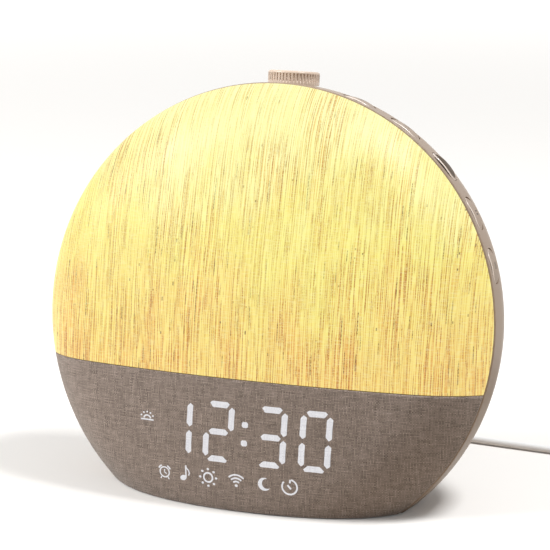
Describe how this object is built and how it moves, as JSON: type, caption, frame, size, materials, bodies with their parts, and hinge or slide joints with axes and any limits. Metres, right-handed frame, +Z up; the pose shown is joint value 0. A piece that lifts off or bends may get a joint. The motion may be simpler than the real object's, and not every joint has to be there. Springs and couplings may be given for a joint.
{
  "type": "sunrise alarm clock",
  "caption": "Round free-standing sunrise alarm clock: domed lamp panel over a cloth-covered display, ribbed knob and pill keys in the rim, rear speaker grille and plug-in lead.",
  "frame": {"origin": "on the surface the clock stands on, under the middle of the clock's own box without the lead", "axes": "+Z up; the domed face looks along -Y and leans back 9.6 degrees; +X to the face's right, where the keys are"},
  "size_m": [0.2696, 0.1704, 0.1739],
  "materials": {
    "housing": "satin moulded plastic, taupe",
    "base": "matt moulded plastic",
    "pad": "matt soft rubber",
    "lamp_panel": "translucent, printed with a slubby grain",
    "cloth": "plain weave, grey taupe",
    "baffle": "matt black",
    "reflector": "white, half gloss",
    "board": "solder mask over glass laminate",
    "led": "clear resin over phosphor",
    "chip": "moulded black",
    "connector": "ivory moulded",
    "capacitor": "drawn can",
    "steel": "zinc plated",
    "shaft": "turned",
    "speaker_frame": "black pressed sheet",
    "magnet": "plated ring magnet",
    "cone": "pressed paper, black",
    "soft_black": "soft, matt",
    "bracket": "natural moulded",
    "key": "satin, taupe",
    "thumb_key": "satin, dark brown",
    "knob": "satin, light beige",
    "lead": "white, soft gloss"
  },
  "bodies": {
    "root": {"backup_battery": "steel", "base_pad": "pad", "base_plate": "base", "base_screws": "steel", "battery_clip": "chip", "board_capacitors": "capacitor", "board_connectors": "connector", "board_screws": "steel", "bracket_screws": "steel", "cloth_cover": "cloth", "cord_coil": "lead", "cord_strain_relief": "lead", "dc_plug": "lead", "display_board": "board", "display_leds": "led", "display_mask": "baffle", "display_ribbon": "connector", "display_screws": "steel", "encoder_board": "board", "encoder_body": "steel", "encoder_nut": "steel", "face_baffle": "baffle", "key_board": "board", "key_bracket": "bracket", "key_switches": "chip", "lamp_board": "board", "lamp_header": "connector", "lamp_leds": "led", "lamp_panel": "lamp_panel", "lamp_reflector": "reflector", "lamp_screws": "steel", "main_board": "board", "main_chips": "chip", "main_housing": "housing", "power_cord": "lead", "power_jack": "chip", "rear_cover": "housing", "rear_screws": "steel", "speaker_cone": "cone", "speaker_frame": "speaker_frame", "speaker_gasket": "soft_black", "speaker_magnet": "magnet", "speaker_screws": "steel", "speaker_surround": "soft_black", "tray_screws": "steel", "usb_plug_body": "lead", "usb_plug_shell": "steel"},
    "rotor": {"encoder_rotor": "bracket"},
    "knob_body": {"knob": "knob", "encoder_shaft": "shaft"},
    "side_key_1": {"side_button_1": "key", "switch_plunger_1": "bracket"},
    "side_key_2": {"side_button_2": "key", "switch_plunger_2": "bracket"},
    "thumb_key": {"thumb_button": "thumb_key", "switch_plunger_3": "bracket"},
    "side_key_3": {"side_button_3": "key", "switch_plunger_4": "bracket"},
    "side_key_4": {"side_button_4": "key", "switch_plunger_5": "bracket"}
  },
  "joints": [
    {"name": "knob_turn", "type": "hinge", "parent": "root", "child": "rotor", "pos_m": [0, 0.02268, 0.1577], "axis": [0, 0.1668, 0.986], "continuous": true},
    {"name": "knob_press", "type": "slide", "parent": "rotor", "child": "knob_body", "axis": [0, -0.1668, -0.986], "range_m": [0, 0.0005], "stiffness_N_per_m": 3000},
    {"name": "side_press_1", "type": "slide", "parent": "root", "child": "side_key_1", "axis": [-0.9542, -0.0499, -0.2949], "range_m": [0, 0.0004], "stiffness_N_per_m": 2500},
    {"name": "side_press_2", "type": "slide", "parent": "root", "child": "side_key_2", "axis": [-0.8599, -0.0851, -0.5034], "range_m": [0, 0.0004], "stiffness_N_per_m": 2500},
    {"name": "thumb_press", "type": "slide", "parent": "root", "child": "thumb_key", "axis": [-0.7193, -0.1158, -0.6849], "range_m": [0, 0.0004], "stiffness_N_per_m": 2500},
    {"name": "side_press_3", "type": "slide", "parent": "root", "child": "side_key_3", "axis": [-0.5402, -0.1403, -0.8297], "range_m": [0, 0.0004], "stiffness_N_per_m": 2500},
    {"name": "side_press_4", "type": "slide", "parent": "root", "child": "side_key_4", "axis": [-0.3322, -0.1573, -0.93], "range_m": [0, 0.0004], "stiffness_N_per_m": 2500}
  ]
}
